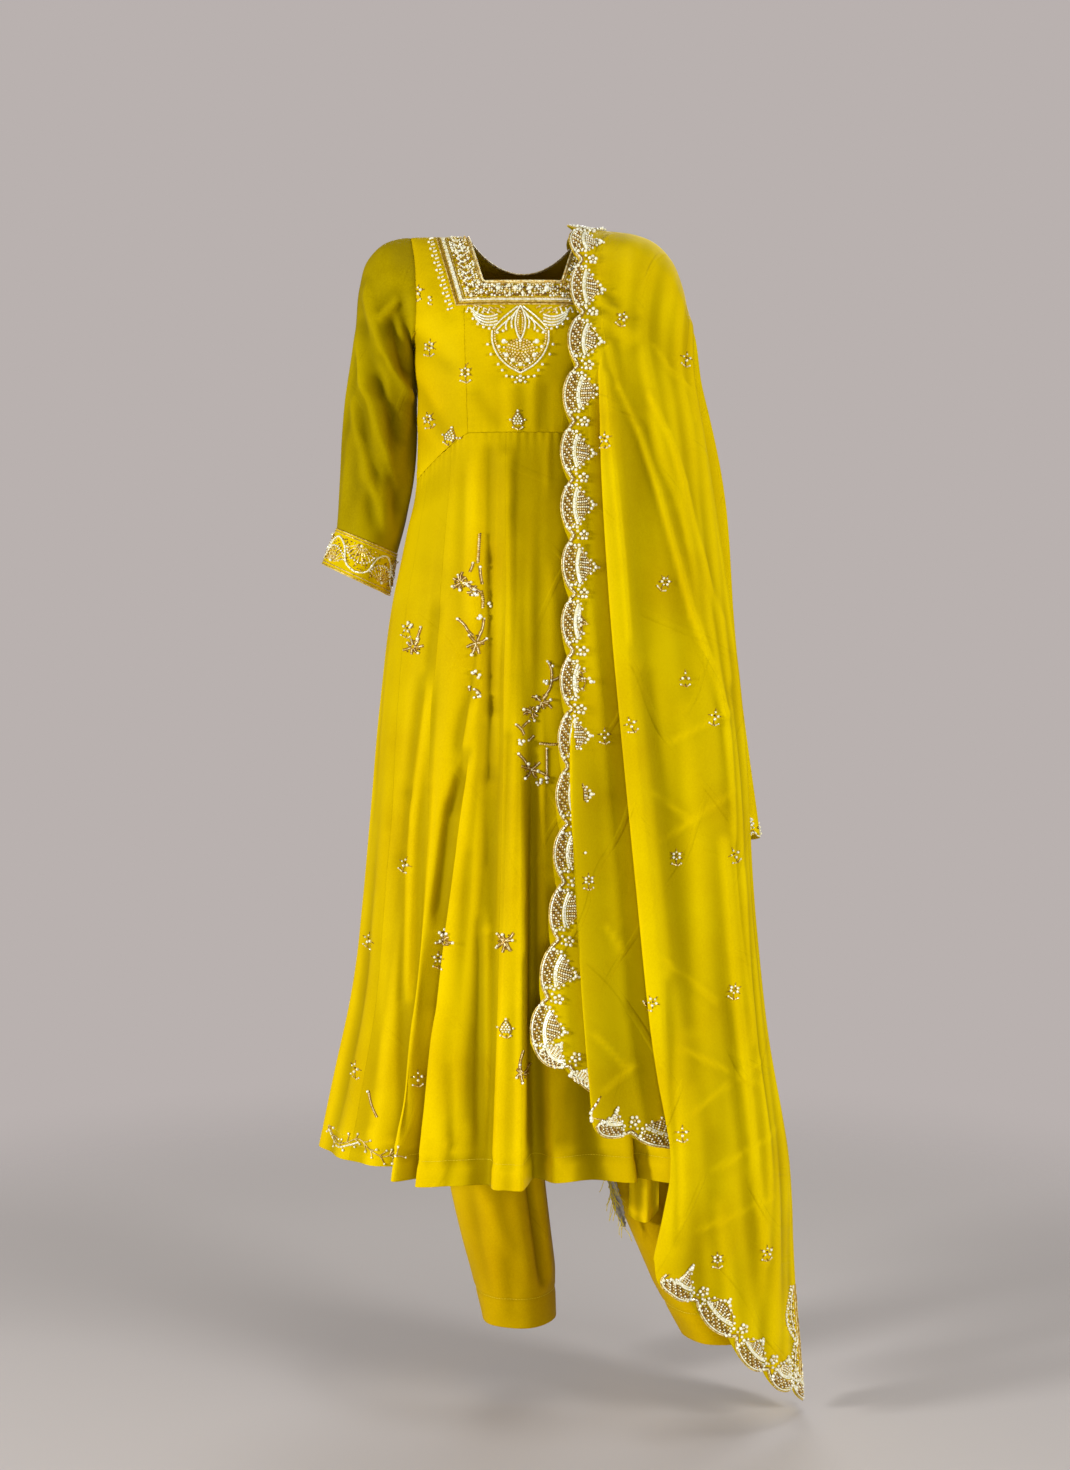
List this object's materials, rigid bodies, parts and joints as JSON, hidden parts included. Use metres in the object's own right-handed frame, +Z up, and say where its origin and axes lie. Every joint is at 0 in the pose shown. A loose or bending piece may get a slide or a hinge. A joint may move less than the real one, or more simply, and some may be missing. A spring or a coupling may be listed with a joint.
{
  "type": "salwar kameez suit",
  "caption": "Women's salwar kameez suit in yellow georgette, held as worn: flared, panelled kameez with elbow sleeves, straight trousers and a beaded dupatta over the left shoulder.",
  "frame": {"origin": "On the shoulder line above the middle of the neck, where the wearer carries the suit", "axes": "+Z up, the front faces -Y, +X is the wearer's left, the side of the dupatta"},
  "size_m": [0.6229, 0.414, 1.4988],
  "materials": {
    "yellow_georgette": "lined georgette with a soft sheen",
    "sheer_georgette": "unlined, half-sheer georgette",
    "satin_lining": "satin",
    "gold_zari": "metallic thread",
    "lining_wrong_side": "matt, frayed"
  },
  "bodies": {
    "root": {"bodice_front_centre": "yellow_georgette", "bodice_front_left": "yellow_georgette", "bodice_front_right": "yellow_georgette", "bodice_back_centre": "yellow_georgette", "bodice_back_left": "yellow_georgette", "bodice_back_right": "yellow_georgette", "neck_piping": "gold_zari", "kali_back_right": "yellow_georgette", "kali_side_right": "yellow_georgette", "kali_front_right": "yellow_georgette", "kali_front_centre": "yellow_georgette", "kali_front_left": "yellow_georgette", "kali_side_left": "yellow_georgette", "kali_back_left": "yellow_georgette", "kali_back_centre": "yellow_georgette", "sleeve_left": "sheer_georgette", "sleeve_right": "sheer_georgette", "cuff_left": "sheer_georgette", "cuff_right": "sheer_georgette", "lining_tail": "satin_lining", "lining_raw_edge": "lining_wrong_side", "trouser_left": "yellow_georgette", "trouser_right": "yellow_georgette", "trouser_waistband": "yellow_georgette", "dupatta_shoulder": "sheer_georgette", "dupatta_inner_fall": "sheer_georgette", "dupatta_inner_pleat": "sheer_georgette", "dupatta_outer_fall": "sheer_georgette", "dupatta_back_fall": "sheer_georgette"}
  },
  "joints": []
}
